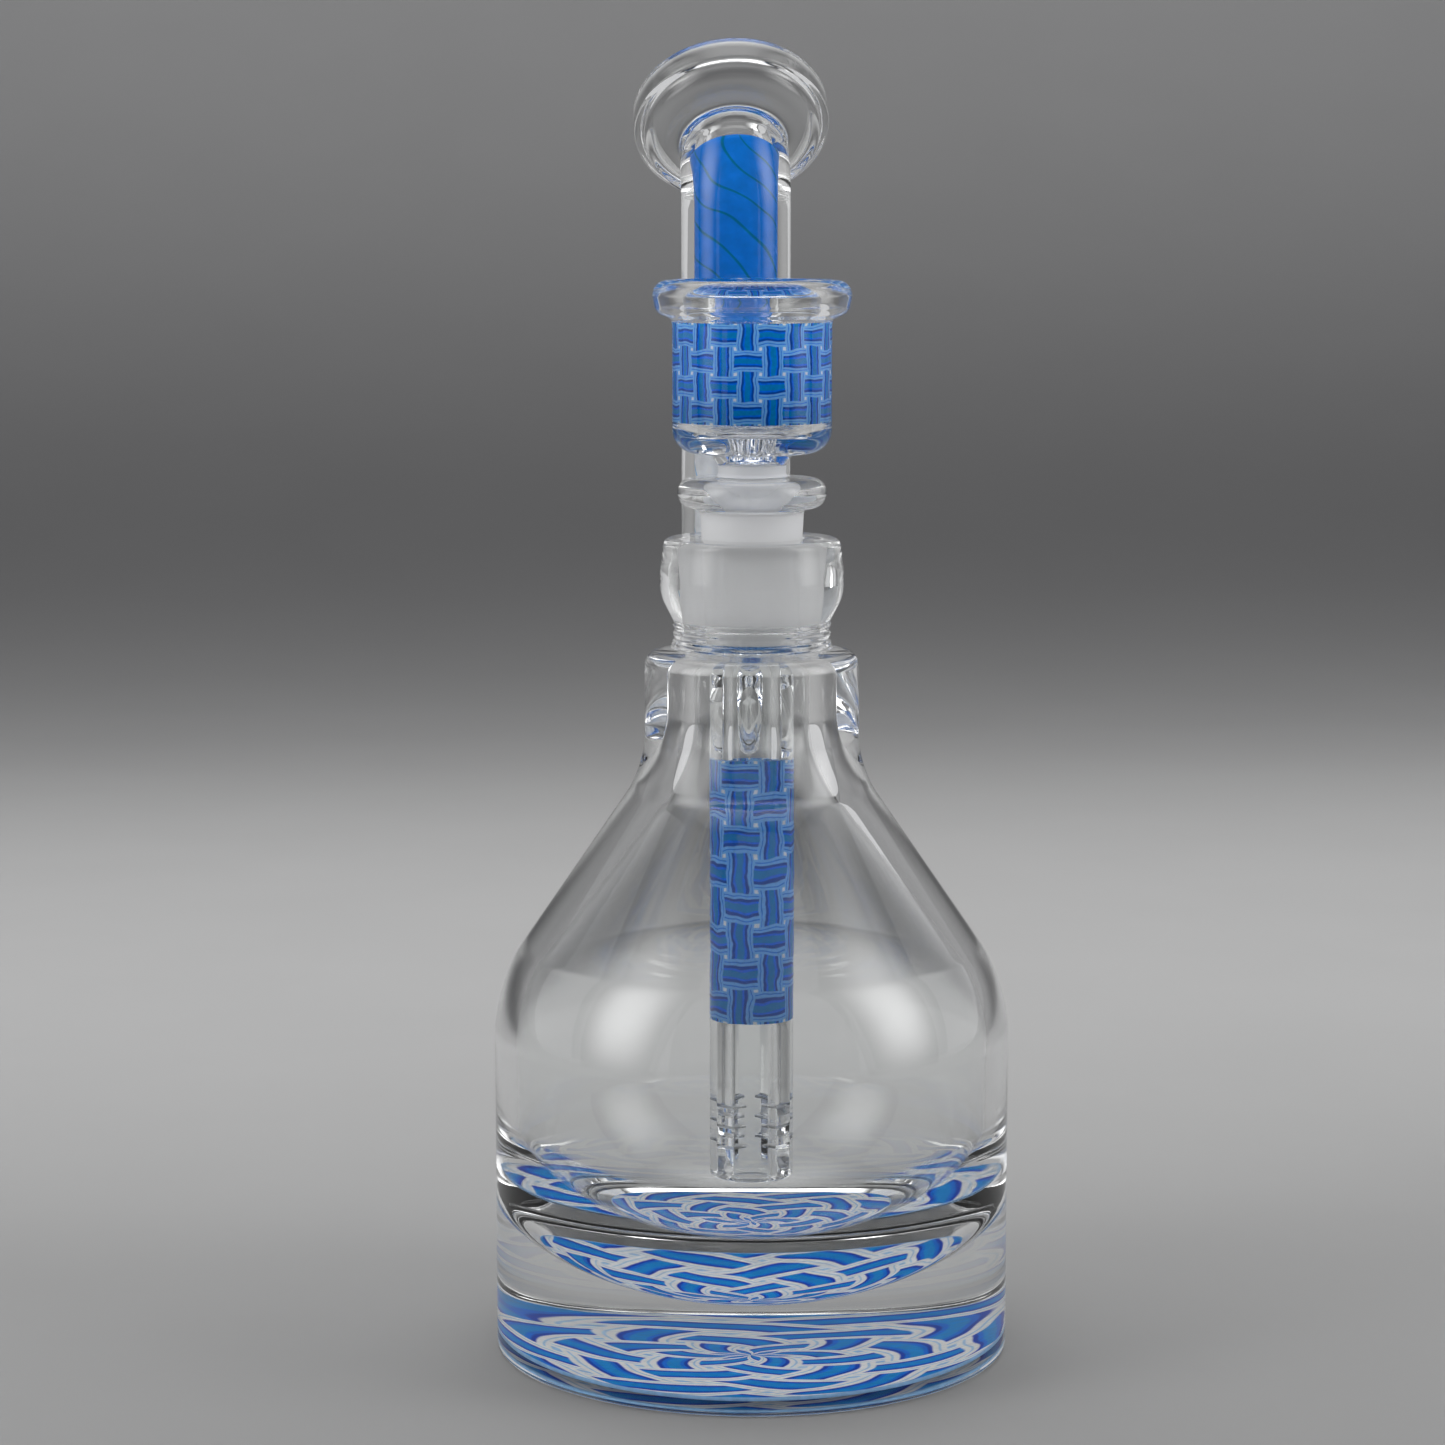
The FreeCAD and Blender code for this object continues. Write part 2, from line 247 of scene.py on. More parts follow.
@dataclass(frozen=True)
class ClearGlass:
    """Polished borosilicate with the faint waves of lamp-worked glass."""

    name: str = "clear_glass_finish"
    tint: Colour = (0.985, 0.992, 0.99)
    wave_mm: float = 0.010
    wave_scale: float = 0.10
    wave_stretch: tuple[float, float, float] = (0.6, 0.6, 2.2)
    haze: float = 0.02
    haze_scale: float = 0.4
    haze_ramp: Span = (0.55, 1.0)

    def build(self) -> Finish:
        """Make the material."""
        nodes = Nodes(self.name)
        where = nodes.place()
        hazy = nodes.smooth(nodes.noise(where, self.haze_scale), *self.haze_ramp)
        waves = nodes.noise(nodes.stretch(where, self.wave_stretch), self.wave_scale)
        return nodes.close("BsdfPrincipled", {
            "Base Color": (*self.tint, 1.0), "Transmission Weight": 1.0, "IOR": BOROSILICATE_IOR,
            "Roughness": nodes.sum("MULTIPLY", hazy, self.haze), "Normal": nodes.bump(waves, self.wave_mm),
        })


@dataclass(frozen=True)
class GroundGlass:
    """White frosted face of a ground joint, with fine rings from the grinding."""

    name: str = "ground_glass_finish"
    white: Colour = (0.97, 0.975, 0.985)
    clear_share: float = 0.2
    roughness: float = 0.5
    roughness_spread: float = 0.12
    ring_rate: float = 14.0
    ring_share: float = 0.2
    grain_scale: float = 6.0
    grain_detail: float = 3.0
    relief_mm: float = 0.006

    def build(self) -> Finish:
        """Make the material."""
        nodes = Nodes(self.name)
        where = nodes.place()
        rings = nodes.sum("SINE", nodes.sum("MULTIPLY", nodes.split(where)[2], self.ring_rate))
        grain = nodes.noise(where, self.grain_scale, self.grain_detail)
        relief = nodes.sum("MULTIPLY_ADD", rings, self.ring_share, grain)
        return nodes.close("BsdfPrincipled", {
            "Base Color": (*self.white, 1.0), "Transmission Weight": self.clear_share,
            "IOR": BOROSILICATE_IOR, "Normal": nodes.bump(relief, self.relief_mm),
            "Roughness": nodes.sum("MULTIPLY_ADD", grain, self.roughness_spread, self.roughness),
        })


@dataclass(frozen=True)
class StripPalette:
    """Colours across a woven strip, from its middle line outwards, and where each one ends (in cells)."""

    heart: Colour = (0.0, 0.26, 0.62)
    body: Colour = (0.0, 0.19, 0.92)
    edge: Colour = (0.0, 0.08, 0.44)
    border: Colour = (0.20, 0.52, 0.98)
    hairline: Colour = (0.02, 0.24, 0.80)
    gap: Colour = (0.90, 0.94, 0.98)
    heart_end: float = 0.10
    body_end: float = 0.165
    edge_end: float = 0.25
    border_end: float = 0.44
    hairline_at: float = 0.345
    hairline_ramp: Span = (0.03, 0.004)
    soft: float = 0.02

    def across(self, nodes: Nodes, offset: object) -> Socket:
        """Colour of the strip at an offset from its middle line.

        Args:
            nodes: the tree to add to.
            offset: how far out, in cells.

        Returns:
            The colour's socket.
        """
        colour: object = self.heart
        for limit, following in ((self.heart_end, self.body), (self.body_end, self.edge),
                                 (self.edge_end, self.border)):
            passed = nodes.smooth(offset, limit - self.soft, limit + self.soft)
            colour = nodes.blend(passed, colour, following)
        astray = nodes.sum("ABSOLUTE", nodes.sum("SUBTRACT", offset, self.hairline_at))
        return nodes.blend(nodes.smooth(astray, *self.hairline_ramp), colour, self.hairline)

    def woven(self, nodes: Nodes, u: object, v: object) -> Socket:
        """Colour of an over-and-under weave whose strips run along u and along v.

        Args:
            nodes: the tree to add to.
            u: first coordinate, in cells.
            v: second coordinate, in cells.

        Returns:
            The colour's socket.
        """
        cell = nodes.sum("ADD", nodes.sum("FLOOR", u), nodes.sum("FLOOR", v))
        level = nodes.sum("FLOORED_MODULO", cell, 2.0)
        side = [nodes.sum("ABSOLUTE", nodes.sum("SUBTRACT", nodes.sum("FRACT", way), 0.5)) for way in (u, v)]
        gap = nodes.sum("SUBTRACT", side[0], side[1])
        over = nodes.sum("MULTIPLY_ADD", gap, level, side[1])
        under = nodes.sum("SUBTRACT", nodes.sum("ADD", side[0], side[1]), over)
        colour: object = self.gap
        for offset in (under, over):
            shown = nodes.smooth(offset, self.border_end + self.soft, self.border_end - self.soft)
            colour = nodes.blend(shown, colour, self.across(nodes, offset))
        return colour


@dataclass(frozen=True)
class Layer:
    """Coloured layer under clear glass, whose tone and roughness vary.

    The glow stands for the light that comes through coloured glass, and the low specular for the clear
    glass over it, which already shines.
    """

    roughness: float
    grain_mm: float
    glow: float = 0.0
    grain_detail: float = 3.0
    roughness_spread: float = 0.2
    darkest: float = 0.78
    tone_spread: float = 0.5
    specular: float = 0.05

    def close(self, nodes: Nodes, colour: Socket, where: Socket) -> Finish:
        """Close a tree with this layer.

        Args:
            nodes: the tree.
            colour: the layer's colour.
            where: coordinates in millimetres.

        Returns:
            The finished material.
        """
        mottle = nodes.noise(where, 1 / self.grain_mm, self.grain_detail)
        tinted = nodes.toned(colour, nodes.sum("MULTIPLY_ADD", mottle, self.tone_spread, self.darkest))
        return nodes.close("BsdfPrincipled", {
            "Base Color": tinted, "Emission Color": tinted, "Emission Strength": self.glow,
            "Roughness": nodes.sum("MULTIPLY_ADD", mottle, self.roughness_spread, self.roughness),
            "Specular IOR Level": self.specular,
        })


@dataclass(frozen=True)
class BasketWeave:
    """Basket weave wrapped round the Z axis: strips cross over and under each other, level and upright."""

    name: str
    cells_round: int
    cell_mm: float
    bottom_z: float
    palette: StripPalette = StripPalette()
    layer: Layer = Layer(roughness=0.3, grain_mm=0.5, glow=0.10)
    wobble: float = 0.3
    round_scale: float = 0.35
    round_detail: float = 2.0
    upright_scale: float = 0.28

    def build(self) -> Finish:
        """Make the material."""
        nodes = Nodes(self.name)
        where = nodes.place()
        x, y, z = nodes.split(where)
        turn = nodes.sum("ARCTAN2", y, x)
        u = nodes.sum("MULTIPLY_ADD", turn, self.cells_round / FULL_TURN, self.cells_round)
        u = nodes.sum("MULTIPLY_ADD", nodes.sway(where, self.round_scale, self.round_detail), self.wobble, u)
        v = nodes.sum("DIVIDE", nodes.sum("SUBTRACT", z, self.bottom_z), self.cell_mm)
        v = nodes.sum("MULTIPLY_ADD", nodes.sway(where, self.upright_scale), self.wobble, v)
        return self.layer.close(nodes, self.palette.woven(nodes, u, v), where)


@dataclass(frozen=True)
class SwirlWeave:
    """Two families of spiral strips woven over and under each other, with white lines along them."""

    name: str = "swirl_weave_finish"
    arms: int = 6
    pitch_mm: float = 10.5
    sway_cells: float = 0.5
    sway_scale: float = 0.07
    edge_r: float = 29.0
    edge_fade: float = 0.6
    palette: StripPalette = StripPalette(
        heart=(0.005, 0.30, 0.80), body=(0.0, 0.19, 0.84), edge=(0.0, 0.06, 0.56),
        border=(0.95, 0.97, 0.99), hairline=(0.50, 0.72, 0.96), gap=(0.40, 0.66, 0.96),
        heart_end=0.10, body_end=0.17, edge_end=0.24, border_end=0.44,
    )
    sky: Colour = (0.30, 0.55, 0.88)
    layer: Layer = Layer(roughness=0.4, grain_mm=1.2, glow=0.04)

    def build(self) -> Finish:
        """Make the material."""
        nodes = Nodes(self.name)
        where = nodes.place()
        x, y, _ = nodes.split(where)
        reach = nodes.sum("SQRT", nodes.sum("MULTIPLY_ADD", x, x, nodes.sum("MULTIPLY", y, y)))
        turn = nodes.sum("MULTIPLY_ADD", nodes.sum("ARCTAN2", y, x), self.arms / FULL_TURN, self.arms)
        turn = nodes.sum("MULTIPLY_ADD", nodes.sway(where, self.sway_scale), self.sway_cells, turn)
        rings = nodes.sum("DIVIDE", reach, self.pitch_mm)
        colour = self.palette.woven(nodes, nodes.sum("ADD", turn, rings), nodes.sum("SUBTRACT", turn, rings))
        rim = nodes.smooth(reach, self.edge_r - self.edge_fade, self.edge_r)
        return self.layer.close(nodes, nodes.blend(rim, colour, self.sky), where)


@dataclass(frozen=True)
class LinedColour:
    """Glossy coloured layer on the bore, with thin slanting lines."""

    name: str
    ground: Colour
    line: Colour
    axis: Vector
    pitch_mm: float
    slant: float
    radius: float = 4.6
    drift_mm: float = 9.0
    drift_scale: float = 0.08
    line_ramp: Span = (0.28, 0.112)
    layer: Layer = Layer(roughness=0.15, grain_mm=2.0)

    def build(self) -> Finish:
        """Make the material."""
        nodes = Nodes(self.name)
        where = nodes.place(self.axis)
        x, y, z = nodes.split(where)
        climb = nodes.sum("MULTIPLY_ADD", nodes.sum("ARCTAN2", y, x), self.slant * self.radius, z)
        climb = nodes.sum("MULTIPLY_ADD", nodes.sway(where, self.drift_scale), self.drift_mm, climb)
        thin = nodes.smooth(nodes.sum("PINGPONG", climb, self.pitch_mm / 2), *self.line_ramp)
        return self.layer.close(nodes, nodes.blend(thin, self.ground, self.line), where)


@dataclass(frozen=True)
class SweepPaper:
    """Grey paper of the backdrop with painted light and shade: its tone changes along its depth and to the
    sides (ramps in mm); only the grain is the paper's own.
    """

    name: str = "sweep_paper"
    # Painted light and shade: lit and shaded tones of the one grey paper, not colours of its own.
    front: Colour = (0.27, 0.27, 0.27)
    middle: Colour = (0.44, 0.44, 0.44)
    back: Colour = (0.125, 0.125, 0.127)
    wall: Colour = (0.33, 0.33, 0.332)
    sides: Colour = (0.45, 0.45, 0.45)
    middle_ramp: Span = (-100.0, 300.0)
    back_ramp: Span = (360.0, 880.0)
    wall_ramp: Span = (880.0, 1350.0)
    side_ramp: Span = (480.0, 900.0)
    grain_scale: float = 0.02
    grain_detail: float = 4.0
    grain_spread: float = 0.06
    darkest: float = 0.97

    def build(self) -> Finish:
        """Make the material."""
        nodes = Nodes(self.name)
        where = nodes.place()
        across, depth, _ = nodes.split(where)
        # Painted light and shade: lighter in the middle of the floor, darkest in the band at the back, then
        # lighter up the wall and to the sides.
        tone: object = self.front
        for ramp, following in ((self.middle_ramp, self.middle), (self.back_ramp, self.back),
                                (self.wall_ramp, self.wall)):
            tone = nodes.blend(nodes.smooth(depth, *ramp), tone, following)
        tone = nodes.blend(nodes.smooth(nodes.sum("ABSOLUTE", across), *self.side_ramp), tone, self.sides)
        grain = nodes.noise(where, self.grain_scale, self.grain_detail)
        factor = nodes.sum("MULTIPLY_ADD", grain, self.grain_spread, self.darkest)
        return nodes.close("BsdfPrincipled", {
            "Base Color": nodes.toned(tone, factor), "Roughness": 0.8, "Specular IOR Level": 0.2,
        })


@dataclass(frozen=True)
class SoftGlow:
    """Light of a soft panel, which fades out towards the panel's edges."""

    name: str
    size: Span
    strength: float
    fade: Span = (1.0, 0.1)

    def build(self) -> Finish:
        """Make the material."""
        nodes = Nodes(self.name)
        place = nodes.add("TexCoord", {}).outputs["Object"]
        x, y, _ = nodes.split(nodes.stretch(place, (2 / self.size[0], 2 / self.size[1], 0)))
        spread = [nodes.smooth(nodes.sum("ABSOLUTE", way), *self.fade) for way in (x, y)]
        glow = nodes.sum("MULTIPLY", nodes.sum("MULTIPLY", *spread), self.strength)
        return nodes.close("Emission", {"Strength": glow})


@dataclass(frozen=True)
class CardBlack:
    """Dull black of a studio card."""

    name: str
    tone: float = 0.02

    def build(self) -> Finish:
        """Make the material."""
        return Nodes(self.name).close("BsdfPrincipled", {
            "Base Color": (self.tone, self.tone, self.tone, 1.0), "Roughness": 0.9,
        })


# ---------------- shaping


@lru_cache(maxsize=None)
def node_box(node: str) -> tuple[Vector, Vector]:
    """Lowest and highest corners of a CAD node in millimetres."""
    low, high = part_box(node)
    return low / MM, high / MM


def span_of(node: str) -> Span:
    """Heights of a CAD node's underside and top in millimetres."""
    low, high = node_box(node)
    return low.z, high.z


def radius_of(node: str) -> float:
    """Half of a CAD node's width in millimetres."""
    low, high = node_box(node)
    return (high.x - low.x) / 2


def new_object(name: str, mesh: BMesh, finishes: Sequence[Finish]) -> Piece:
    """Make a smooth-shaded object from a finished bmesh.

    Args:
        name: the piece's name.
        mesh: the bmesh, which is freed.
        finishes: its materials, in the order of the faces' material numbers.

    Returns:
        The linked object.
    """
    for face in mesh.faces:
        face.smooth = True
    data = bpy.data.meshes.new(name)
    mesh.to_mesh(data)
    mesh.free()
    piece = bpy.data.objects.new(name, data)
    bpy.context.scene.collection.objects.link(piece)
    for finish in finishes:
        data.materials.append(finish)
    return piece


def add_outline(mesh: BMesh, corners: Sequence[Corner],
                smoothness: int) -> list[BMEdge]:
    """Closed outline in the XZ plane with its corners rounded.

    Args:
        mesh: where it is added.
        corners: radius, height and rounding of each corner in millimetres.
        smoothness: edges in each rounded corner.

    Returns:
        The outline's edges, with no face between them.
    """
    verts = [mesh.verts.new((radius * MM, 0.0, height * MM)) for radius, height, _ in corners]
    mesh.faces.new(verts)
    places = [vert.co.copy() for vert in verts]
    for index, (_, _, rounding) in enumerate(corners):
        if rounding <= 0:
            continue
        here = places[index]
        back = (places[index - 1] - here).normalized()
        ahead = (places[(index + 1) % len(places)] - here).normalized()
        reach = rounding * MM * math.tan((math.pi - back.angle(ahead)) / 2)
        bmesh.ops.bevel(
            mesh, geom=[verts[index]], offset=reach, offset_type="OFFSET", segments=smoothness,
            profile=0.5, affect="VERTICES", material=-1,
        )
    edges = list(mesh.edges)
    bmesh.ops.delete(mesh, geom=list(mesh.faces), context="FACES_ONLY")
    return [edge for edge in edges if edge.is_valid]


def turn_solid(mesh: BMesh, edges: Sequence[BMEdge], steps: int) -> None:
    """Spin an outline round the Z axis into a closed solid with its faces pointing outwards.

    Args:
        mesh: the mesh that holds the outline.
        edges: the outline.
        steps: faces round the turn.
    """
    geometry = list({vert for edge in edges for vert in edge.verts}) + list(edges)
    bmesh.ops.spin(
        mesh, geom=geometry, cent=(0, 0, 0), axis=(0, 0, 1), angle=FULL_TURN, steps=steps, use_merge=True,
    )
    bmesh.ops.remove_doubles(mesh, verts=list(mesh.verts), dist=MERGED_MM * MM)
    bmesh.ops.dissolve_degenerate(mesh, edges=list(mesh.edges), dist=DEGENERATE_MM * MM)
    bmesh.ops.recalc_face_normals(mesh, faces=list(mesh.faces))


def turned_piece(name: str, corners: Sequence[Corner], finishes: Sequence[Finish],
                 steps: int = 128, smoothness: int = 10) -> Piece:
    """Solid turned from an outline.

    Args:
        name: the piece's name.
        corners: radius, height and rounding of each corner in millimetres.
        finishes: its materials.
        steps: faces round the turn.
        smoothness: edges in each rounded corner.

    Returns:
        The piece.
    """
    mesh = bmesh.new()
    turn_solid(mesh, add_outline(mesh, corners, smoothness), steps)
    return new_object(name, mesh, finishes)


class TubePull:
    """Pulls a tube out of one ring of edges: straight, round a bend, or opening out."""

    def __init__(self, radius: float, start: Vector, heading: Vector, sides: int = 64) -> None:
        """Start with a closed disc.

        Args:
            radius: the ring's radius in millimetres.
            start: its centre in millimetres.
            heading: the direction in which it is pulled, in the YZ plane.
            sides: edges in the ring.
        """
        self.mesh = bmesh.new()
        self.centre = start * MM
        self.heading = heading.normalized()
        self.radius = radius * MM
        turn = Vector((0, 0, 1)).rotation_difference(self.heading).to_matrix().to_4x4()
        made = bmesh.ops.create_circle(
            self.mesh, cap_ends=True, segments=sides, radius=self.radius,
            matrix=Matrix.Translation(self.centre) @ turn,
        )
        self.ring = list({edge for vert in made["verts"] for edge in vert.link_edges})

    def _extrude(self) -> list[BMVert]:
        """Extrude the ring in place and return its new points."""
        made = bmesh.ops.extrude_edge_only(self.mesh, edges=self.ring)["geom"]
        verts = [item for item in made if isinstance(item, BMVert)]
        moving = set(verts)
        self.ring = [
            item for item in made
            if isinstance(item, BMEdge) and item.verts[0] in moving and item.verts[1] in moving
        ]
        return verts

    def pull(self, length: float, radius: float | None = None, steps: int = 1) -> "TubePull":
        """Pull straight ahead, swelling or narrowing evenly.

        Args:
            length: how far, in millimetres (negative goes back inside).
            radius: the radius at the end, or None to keep it.
            steps: rings along the way.

        Returns:
            Itself, so that pulls can be chained.
        """
        target = self.radius if radius is None else radius * MM
        start_radius = self.radius
        for step in range(1, steps + 1):
            verts = self._extrude()
            move = self.heading * (length * MM / steps)
            bmesh.ops.translate(self.mesh, verts=verts, vec=move)
            self.centre = self.centre + move
            self._resize(verts, start_radius + (target - start_radius) * step / steps)
        return self

    def _resize(self, verts: Sequence[BMVert], radius: float) -> None:
        """Scale the ring about its own centre to a radius in metres."""
        factor = radius / self.radius
        if abs(factor - 1) > SAME_SIZE:
            bmesh.ops.scale(
                self.mesh, verts=verts, vec=(factor, factor, factor), space=Matrix.Translation(-self.centre),
            )
        self.radius = radius

    def bend(self, radius: float, angle: float, steps: int) -> "TubePull":
        """Bend in the YZ plane.

        Args:
            radius: the bend's centreline radius in millimetres.
            angle: degrees; positive bends upwards, negative over towards +Y.
            steps: rings round the bend.

        Returns:
            Itself.
        """
        side = Matrix.Rotation(math.copysign(math.pi / 2, angle), 3, "X") @ self.heading
        hub = self.centre + side * radius * MM
        step = Matrix.Rotation(math.radians(angle) / steps, 3, "X")
        for _ in range(steps):
            verts = self._extrude()
            bmesh.ops.rotate(self.mesh, verts=verts, cent=hub, matrix=step)
            self.centre = hub + step @ (self.centre - hub)
            self.heading = step @ self.heading
        return self

    def follow(self, stations: Profile) -> "TubePull":
        """Pull through a row of rings, given as length on from the last one and new radius."""
        for length, radius in stations:
            self.pull(length, radius)
        return self

    def close(self) -> BMesh:
        """Close the end and return the finished mesh."""
        bmesh.ops.contextual_create(self.mesh, geom=self.ring)
        bmesh.ops.recalc_face_normals(self.mesh, faces=list(self.mesh.faces))
        return self.mesh


def rounded_stations(points: Profile, steps: int) -> list[tuple[float, float]]:
    """Round off a row of control points with parabolas and work out the pulls that follow them.

    Args:
        points: distance along the axis and radius of each control point, in millimetres.
        steps: rings for each control point.

    Returns:
        Length on from the last ring and radius of each ring.
    """
    places = [Vector(point).to_3d() for point in points]
    path = [places[0]]
    for before, here, after in zip(places, places[1:], places[2:]):
        start, end = before.lerp(here, 0.5), here.lerp(after, 0.5)
        for step in range(steps + 1):
            share = step / steps
            path.append(start.lerp(here, share).lerp(here.lerp(end, share), share))
    path.append(places[-1])
    return [(b.x - a.x, b.y) for a, b in zip(path, path[1:]) if (b - a).length > SHORTEST_PULL]


def cut(piece: Piece, tool: Piece, action: Action) -> None:
    """Fuse a tool to a piece or cut it away, and remove the tool.

    Args:
        piece: the object that changes.
        tool: the object fused or cut away.
        action: which of the two.
    """
    modifier = piece.modifiers.new(action.name, "BOOLEAN")
    modifier.operation = action.value
    modifier.solver = "EXACT"
    modifier.object = tool
    bpy.context.view_layer.update()
    shaped = piece.evaluated_get(bpy.context.evaluated_depsgraph_get())
    data = bpy.data.meshes.new_from_object(shaped)
    piece.modifiers.clear()
    old = piece.data
    piece.data = data
    bpy.data.meshes.remove(old)
    bpy.data.objects.remove(tool)


def mark_faces(piece: Piece, is_marked: Callable[[Vector], bool], number: int) -> None:
    """Give the faces that a test picks another material number.

    Args:
        piece: the piece.
        is_marked: test of a face's centre in millimetres.
        number: the material number for those faces.
    """
    for face in piece.data.polygons:
        if is_marked(face.center / MM):
            face.material_index = number


def polish(piece: Piece) -> None:
    """Shade a cut piece smoothly, and let its large flat faces keep their own direction."""
    for face in piece.data.polygons:
        face.use_smooth = True
    modifier = piece.modifiers.new("face_weights", "WEIGHTED_NORMAL")
    modifier.mode = "FACE_AREA"
    modifier.weight = 60
    modifier.keep_sharp = True


def off_axis(place: Vector) -> float:
    """Distance of a place from the Z axis."""
    return math.hypot(place.x, place.y)


# ---------------- the pipe


@dataclass(frozen=True)
class Taper:
    """Ground taper of the joint: its radius at one height, and how it grows with height."""

    radius: float
    height: float = 118.6
    per_mm: float = 0.05

    def at(self, height: float) -> float:
        """Radius at a height."""
        return self.radius + self.per_mm * (height - self.height)


@dataclass
class Finishes:
    """The finishes that the pieces share."""

    clear: Finish
    ground: Finish
    sawn: Finish


@dataclass
class Bottle:
    """Bottle, seal, socket and downstem: one continuous piece of clear glass."""

    finishes: Finishes
    base_edge: float = 1.0
    foot_ring: float = 2.1
    foot_recess: float = 0.3
    wall: float = 3.3
    hollow_depth: float = 25.8
    floor_z: float = 9.6
    shoulder_z: float = 53.7
    shoulder_round: float = 22.0
    cone_slope: float = 0.688
    neck_r: float = 15.5
    neck_foot_round: float = 15.0
    neck_bore_r: float = 8.3
    inner_shoulder_z: float = 52.8
    inner_neck_z: float = 86.4
    inner_round: float = 20.0
    ceiling_z: float = 100.9
    ring_ripple: Profile = ((0.0, 0.7), (0.5, 1.2), (-0.05, 1.8), (0.45, 2.4))
    bulb: Corner = (13.5, 111.2, 7.0)
    lip_r: float = 12.75
    stem_bore_r: float = 2.9
    ring_bore_r: float = 7.4
    taper: Taper = Taper(7.28)
    slit_heights: tuple[float, ...] = (30.5, 33.5, 36.5)
    slit_size: tuple[float, float, float] = (5.0, 3.2, 0.4)
    slit_inset: float = 0.6
    slits_round: int = 4
    turn_steps: int = 144

    def outline(self) -> list[Corner]:
        """Corners of the glass, from the middle of the underside round to the middle of the floor."""
        base_r = radius_of("base_foot")
        wall_r = base_r - self.wall
        foot_r = base_r - self.foot_ring
        neck_corner = self.shoulder_z + (base_r - self.neck_r) / self.cone_slope
        ring_r = radius_of("weld_ring")
        ring_low, ring_high = span_of("weld_ring")
        lip_z = span_of("joint_socket")[1]
        stem_r = radius_of("downstem_top")
        stem_low = span_of("downstem_diffuser")[0]
        pocket_z = span_of("downstem_top")[1]
        foot = [
            (0, self.foot_recess, 0), (foot_r - 0.5, self.foot_recess - 0.05, 0.5), (foot_r, 0, 0.2),
            (base_r, 0, self.base_edge),
        ]
        cone = [
            (base_r, self.shoulder_z, self.shoulder_round), (self.neck_r, neck_corner, self.neck_foot_round),
            (self.neck_r, ring_low - 1.2, 2.2), (ring_r + 0.1, ring_low - 0.1, 0.5),
        ]
        ripple = [(ring_r - inset, ring_low + rise, 0.4) for inset, rise in self.ring_ripple]
        socket = [
            (ring_r, ring_high - 0.6, 0.4), (ring_r - 0.15, ring_high, 0.5), self.bulb,
            (self.lip_r, lip_z, 1.2),
        ]
        joint = [
            (self.taper.at(lip_z) + 0.2, lip_z, 0.3), (self.taper.at(ring_high), ring_high, 0),
            (self.ring_bore_r, ring_high - 0.4, 0.2), (self.ring_bore_r, pocket_z, 0.6),
            (self.stem_bore_r, pocket_z, 0.6), (self.stem_bore_r, stem_low, 1.3), (stem_r, stem_low, 1.3),
        ]
        inside = [
            (stem_r, self.ceiling_z, 1.0), (self.neck_bore_r, self.ceiling_z, 1.0),
            (self.neck_bore_r, self.inner_neck_z, self.inner_round),
            (wall_r, self.inner_shoulder_z, self.inner_round),
        ]
        return foot + cone + ripple + socket + joint + inside + self.hollow(wall_r)

    def hollow(self, wall_r: float, points: int = 28) -> list[Corner]:
        """Quarter ellipse from the wall down to the middle of the hollow's floor."""
        angles = [math.pi / 2 * index / points for index in range(points + 1)]
        rise = self.floor_z + self.hollow_depth
        return [(wall_r * math.cos(a), rise - self.hollow_depth * math.sin(a), 0) for a in angles]

    def is_ground(self, centre: Vector) -> bool:
        """True on the socket's ground bore."""
        low, high = span_of("weld_ring")[1], span_of("joint_socket")[1] - 0.3
        return low < centre.z < high and off_axis(centre) < self.taper.at(high) + 0.2

    def is_sawn(self, centre: Vector) -> bool:
        """True on the faces of the slits, which lie inside the stem's wall."""
        height = self.slit_size[2]
        in_wall = self.stem_bore_r + 0.05 < off_axis(centre) < radius_of("downstem_diffuser") - 0.05
        return in_wall and self.slit_heights[0] - height < centre.z < self.slit_heights[-1] + height

    def build(self, mouthpiece: "Mouthpiece") -> Piece:
        """Turn the glass, saw the diffuser's slits and fuse the mouthpiece to the neck.

        Args:
            mouthpiece: gives the tube and its bore.

        Returns:
            The piece.
        """
        dressing = [self.finishes.clear, self.finishes.ground, self.finishes.sawn]
        piece = turned_piece("pipe_glass", self.outline(), dressing, self.turn_steps, 12)
        cut(piece, mouthpiece.tube(), Action.FUSE)
        cut(piece, mouthpiece.bore(), Action.CUT)
        cut(piece, self.slits(), Action.CUT)
        for number, is_marked in enumerate((self.is_ground, self.is_sawn), 1):
            mark_faces(piece, is_marked, number)
        polish(piece)
        return piece

    def slits(self) -> Piece:
        """Saw cuts across the lower end of the downstem, as one cutting tool."""
        mesh = bmesh.new()
        out = radius_of("downstem_diffuser") - self.slit_inset
        for height in self.slit_heights:
            for index in range(self.slits_round):
                made = bmesh.ops.create_cube(mesh, size=1.0)["verts"]
                bmesh.ops.scale(mesh, verts=made, vec=Vector(self.slit_size) * MM)
                bmesh.ops.translate(mesh, verts=made, vec=(out * MM, 0, height * MM))
                turn = Matrix.Rotation(FULL_TURN * (index + 0.5) / self.slits_round, 3, "Z")
                bmesh.ops.rotate(mesh, verts=made, cent=(0, 0, 0), matrix=turn)
        return new_object("slit_saw", mesh, [])


